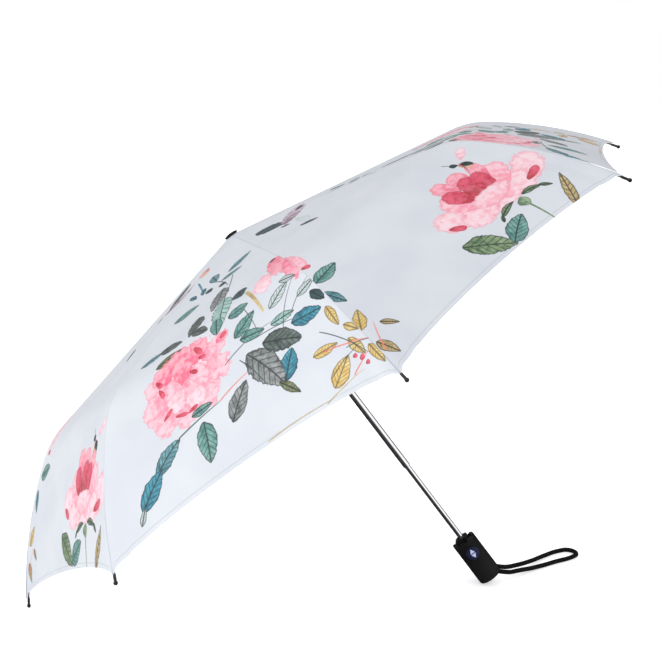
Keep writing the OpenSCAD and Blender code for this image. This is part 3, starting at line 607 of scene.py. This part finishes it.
def printed_cloth(name, rows):
    """The printed colour of one gore, from the cloth's own coordinates in millimetres."""
    group, given, out = shader_group(name, [("Cloth", "Vector", None)], [("Colour", "Color")])
    cloth = given["Cloth"]
    split = put(group, "ShaderNodeSeparateXYZ", {0: cloth}).outputs
    clouds = put(group, "ShaderNodeTexNoise", {"Vector": cloth, "Scale": 0.011, "Detail": 2.0}).outputs[0]
    mottle = put(group, "ShaderNodeTexNoise", {"Vector": cloth, "Scale": 0.15, "Detail": 3.0}).outputs[0]
    mottle = sums(group, "MAXIMUM", sums(group, "MINIMUM", rise(group, mottle, 0.3, 0.7), 1.0), 0.0)
    shade = blend_colour(group, rise(group, clouds, 0.35, 0.65), colour(0.575, 0.605, 0.665),
                         colour(0.63, 0.655, 0.70))
    for shape, x, y, turn, length, width, bow, tone in rows:
        dark, light = TONES[tone]
        links = {"Across": split[0], "Down": split[1], "Mottle": mottle,
                 "Place": (x, y, math.radians(turn)), "Size": (length, width, bow)}
        if shape == "petal":
            made = use_group(group, petal, links)
            fill = blend_colour(group, made["Wash"], colour(*light), colour(*dark))
            line = sums(group, "MULTIPLY", made["Rim"], 0.62)
            fill = blend_colour(group, line, fill, colour(dark[0] * 0.9, dark[1] * 0.5, dark[2] * 0.6))
            share = sums(group, "MINIMUM", made["Mask"], 0.94)
        else:
            made = use_group(group, leaf if shape == "leaf" else stem, links)
            fill = blend_colour(group, made["Wash"], colour(*dark), colour(*light))
            if shape == "leaf":
                strength = 0.7 if tone == "yellow" else 0.88
                fill = blend_colour(group, sums(group, "MULTIPLY", made["Ink"], strength), fill, INK)
            share = made["Mask"]
        shade = blend_colour(group, share, shade, fill)
    group.links.new(shade, out["Colour"])
    return group


def cloth_material(name, print_group, under):
    made, tree, surface = material(name, (0.8, 0.85, 0.9), 0.5, Sheen_Weight=0.15, Sheen_Roughness=0.4)
    place = put(tree, "ShaderNodeUVMap", uv_map="cloth").outputs[0]
    cloth = put(tree, "ShaderNodeVectorMath", {0: place, 1: (1000, 1000, 0)}, operation="MULTIPLY").outputs[0]
    shade = use_group(tree, print_group, {"Cloth": cloth})["Colour"]
    seam = put(tree, "ShaderNodeAttribute", attribute_name="from_seam").outputs["Fac"]
    hem = put(tree, "ShaderNodeAttribute", attribute_name="from_hem").outputs["Fac"]
    if under:
        shade = blend_colour(tree, 0.55, shade, colour(0.78, 0.81, 0.84))
    groove = ramp(tree, seam, 0.2, 0.9, 1.0, 0.0)
    stitched = ramp(tree, sums(tree, "ABSOLUTE", sums(tree, "SUBTRACT", hem, 5.0)), 0.25, 0.7, 1.0, 0.0)
    lines = sums(tree, "MAXIMUM", groove, stitched)
    shade = blend_colour(tree, sums(tree, "MULTIPLY", lines, 0.22), shade, colour(0.30, 0.34, 0.40))
    tree.links.new(shade, surface.inputs["Base Color"])
    threads = use_group(tree, weave, {"Cloth": cloth})["Height"]
    puckers = put(tree, "ShaderNodeTexNoise", {"Vector": cloth, "Scale": 0.05, "Detail": 2.0}).outputs[0]
    height = sums(tree, "ADD", sums(tree, "MULTIPLY", threads, 0.06), sums(tree, "MULTIPLY", puckers, 1.2))
    height = sums(tree, "SUBTRACT", height, sums(tree, "MULTIPLY", lines, 0.5))
    bump(tree, surface, height, 0.5, 0.001)
    tree.links.new(ramp(tree, threads, 0.2, 0.9, 0.46, 0.56), surface.inputs["Roughness"])
    return made


peony_print = printed_cloth("peony_gore_print", PEONY_GORE)
lotus_print = printed_cloth("lotus_gore_print", LOTUS_GORE)
outer_cloth = (cloth_material("lotus_gore_cloth", lotus_print, False),
               cloth_material("peony_gore_cloth", peony_print, False))
under_cloth = (cloth_material("lotus_gore_underside", lotus_print, True),
               cloth_material("peony_gore_underside", peony_print, True))
# How far each gore's print is shifted sideways
PRINT_SHIFT = (12, -20, -8, 15, -14, 0, 0, 60)


# ---------------------------------------------------------------- the canopy's panels

FOLD_HEIGHT = 1.6
CROWN_HOLE = 4.2
# Steps across and down each panel's mesh
PANEL_STEPS = {"top": (10, 28), "mid": (18, 28), "end": (24, 34)}


def tension_folds(s, w, gore):
    """Shallow folds that fan out from each rib tip, in millimetres."""
    reach = np.clip((s - inner_length) / outer_length, 0, 1)
    across = np.minimum(w, 1 - w)
    fan = np.exp(-(across / 0.10) ** 2) * reach ** 3
    return FOLD_HEIGHT * fan * np.sin(across * 95 + gore)


def half_gore(k, side, part):
    """The cloth beside rib k, on one side of it, over its top, middle or end rib."""
    gore = (k - 1 if side > 0 else k - 2) % 8
    columns, count = PANEL_STEPS[part]
    w = np.linspace(0, 0.5, columns + 1)
    knee_cut = cut_at(knee, OPEN_SLOPE, w)
    elbow_cut = cut_at(elbow, (OPEN_SLOPE + arc_slope - END_BEND / 2) / 2, w)
    edges = {"top": (np.full_like(w, CROWN_HOLE), knee_cut), "mid": (knee_cut, elbow_cut),
             "end": (elbow_cut, hem_at(w))}[part]
    t = np.linspace(0, 1, count + 1)[:, None]
    s = edges[0] * (1 - t) + edges[1] * t
    ww = np.broadcast_to(w, s.shape)
    points = on_gore(s, ww)
    lift = tension_folds(s, ww, gore)
    points[..., 0] += 0.7 * lift
    points[..., 2] += 0.7 * lift
    points[..., 1] *= side
    gore_w = ww if side > 0 else 1 - ww
    x, y = flat_place(s, gore_w)
    seam = points[..., 1] * side
    hem = (hem_at(w) - s) * 0.95
    frame_k = place_on_shaft(rib_azimuth(k))
    mesh = bmesh.new()
    uv = mesh.loops.layers.uv.new("cloth")
    seam_layer = mesh.verts.layers.float.new("from_seam")
    hem_layer = mesh.verts.layers.float.new("from_hem")
    grid = []
    for i in range(s.shape[0]):
        row = []
        for j in range(s.shape[1]):
            vert = mesh.verts.new(frame_k @ (Vector(points[i, j]) * MM))
            vert[seam_layer], vert[hem_layer] = float(seam[i, j]), float(hem[i, j])
            row.append(vert)
        grid.append(row)
    for i in range(s.shape[0] - 1):
        for j in range(s.shape[1] - 1):
            corners = ((i, j), (i + 1, j), (i + 1, j + 1), (i, j + 1))
            if side < 0:
                corners = corners[::-1]
            face = mesh.faces.new([grid[a][b] for a, b in corners])
            for loop, (a, b) in zip(face.loops, corners):
                loop[uv].uv = ((x[a, b] + PRINT_SHIFT[gore]) * MM, y[a, b] * MM)
    name = f"cloth_{part}_{k}_{'right' if side > 0 else 'left'}"
    piece = mesh_object(name, mesh, outer_cloth[gore % 2], under_cloth[gore % 2])
    piece.data.shade_smooth()
    wall = piece.modifiers.new("wall", "SOLIDIFY")
    wall.thickness, wall.offset, wall.material_offset, wall.material_offset_rim = CLOTH_THICK * MM, -1, 1, 0
    flat_area = sum(abs(np.cross(first, second)) for first, second in zip(
        np.stack((x[1:, 1:] - x[:-1, :-1], y[1:, 1:] - y[:-1, :-1]), -1).reshape(-1, 2),
        np.stack((x[1:, :-1] - x[:-1, 1:], y[1:, :-1] - y[:-1, 1:]), -1).reshape(-1, 2))) / 2
    cut = (float(np.ptp(x)) * MM, float(np.ptp(y)) * MM, float(flat_area) * MM * MM)
    return piece, frame_k, cut


def finish_piece(piece):
    """Applies a piece's modifiers, so that its mesh is final."""
    bpy.context.view_layer.update()
    baked = bpy.data.meshes.new_from_object(piece.evaluated_get(bpy.context.evaluated_depsgraph_get()))
    piece.modifiers.clear()
    baked.set_sharp_from_angle(angle=math.radians(50))
    piece.data = baked
    baked.name = piece.name


def make_canopy():
    for k in RIBS:
        for side in (1, -1):
            for part in ("top", "mid", "end"):
                piece, frame_k, cut = half_gore(k, side, part)
                finish_piece(piece)
                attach(piece, f"{part}_rib_{k}")
                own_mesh(piece)
                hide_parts("canopy")


make_canopy()


# ---------------------------------------------------------------- small pieces

def button_arrows():
    """Two plain pale arrowheads let into the button, for up to open and down to close."""
    button_turn, button_height, button_face = -75, -514.5, 17.0
    mesh = bmesh.new()
    place = place_on_shaft(math.radians(button_turn), 0, button_height) @ Matrix.Rotation(
        math.pi / 2, 4, "Y")
    for turn in (0, math.pi):
        made = bmesh.ops.create_cone(
            mesh, cap_ends=True, segments=3, radius1=3.8, radius2=3.8, depth=0.5,
            matrix=Matrix.Rotation(turn, 4, "Z") @ Matrix.Translation((2.6, 0, button_face))
            @ Matrix.Rotation(math.radians(-90), 4, "Z"))["verts"]
        edges = list({e for v in made for e in v.link_edges if abs(e.verts[0].co.z - e.verts[1].co.z) > 0.3})
        bmesh.ops.bevel(mesh, geom=edges, offset=0.35, affect="EDGES", segments=3, profile=0.5, material=-1)
    bmesh.ops.recalc_face_normals(mesh, faces=mesh.faces)
    bmesh.ops.transform(mesh, matrix=place @ Matrix.Scale(MM, 4), verts=mesh.verts)
    pale = plastic("pale_arrows", (0.40, 0.43, 0.66), 0.4, strength=0.04)
    arrows = mesh_object("button_arrows", mesh, pale)
    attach(arrows, "push_button")


button_arrows()


def make_floor():
    mesh = bmesh.new()
    bmesh.ops.create_grid(mesh, x_segments=1, y_segments=1, size=9)
    made, tree, surface = material("white_sweep", (0.95, 0.95, 0.95), 0.9, Emission_Strength=0.45)
    # painted reflection: glossy rays see this floor near black, so polished metal shows a dark floor, while all
    # other rays see it white
    shiny = put(tree, "ShaderNodeLightPath").outputs["Is Glossy Ray"]
    for socket, pale in (("Base Color", colour(0.95, 0.95, 0.95)), ("Emission Color", colour(1, 1, 1))):
        tree.links.new(blend_colour(tree, shiny, pale, colour(0.01, 0.01, 0.012)), surface.inputs[socket])
    mesh_object("floor", mesh, made)


make_floor()


def make_sky():
    """Even white light all round. Glossy rays alone see dark regions behind and low down, a painted reflection
    that gives polished metal its dark streaks.
    """
    sky = bpy.data.worlds.new("studio")
    bpy.context.scene.world = sky
    sky.use_nodes = True
    tree = sky.node_tree
    background = tree.nodes["Background"]
    direction = put(tree, "ShaderNodeTexCoord").outputs["Generated"]
    way = put(tree, "ShaderNodeSeparateXYZ", {0: direction}).outputs
    behind = ramp(tree, way[1], 0.2, 0.6, 1.0, 0.02)
    low = ramp(tree, way[2], 0.02, 0.3, 0.08, 1.0)
    shiny = put(tree, "ShaderNodeLightPath").outputs["Is Glossy Ray"]
    # painted reflection: dark behind the umbrella and near and below the horizon, mixed in for glossy rays only
    painted_reflection = blend_colour(tree, sums(tree, "MULTIPLY", behind, low), colour(0.02, 0.02, 0.025), colour(1, 1, 1))
    tree.links.new(blend_colour(tree, shiny, colour(1, 1, 1), painted_reflection), background.inputs["Color"])
    background.inputs["Strength"].default_value = 1.0


make_sky()
bpy.context.scene.view_settings.view_transform = "Standard"
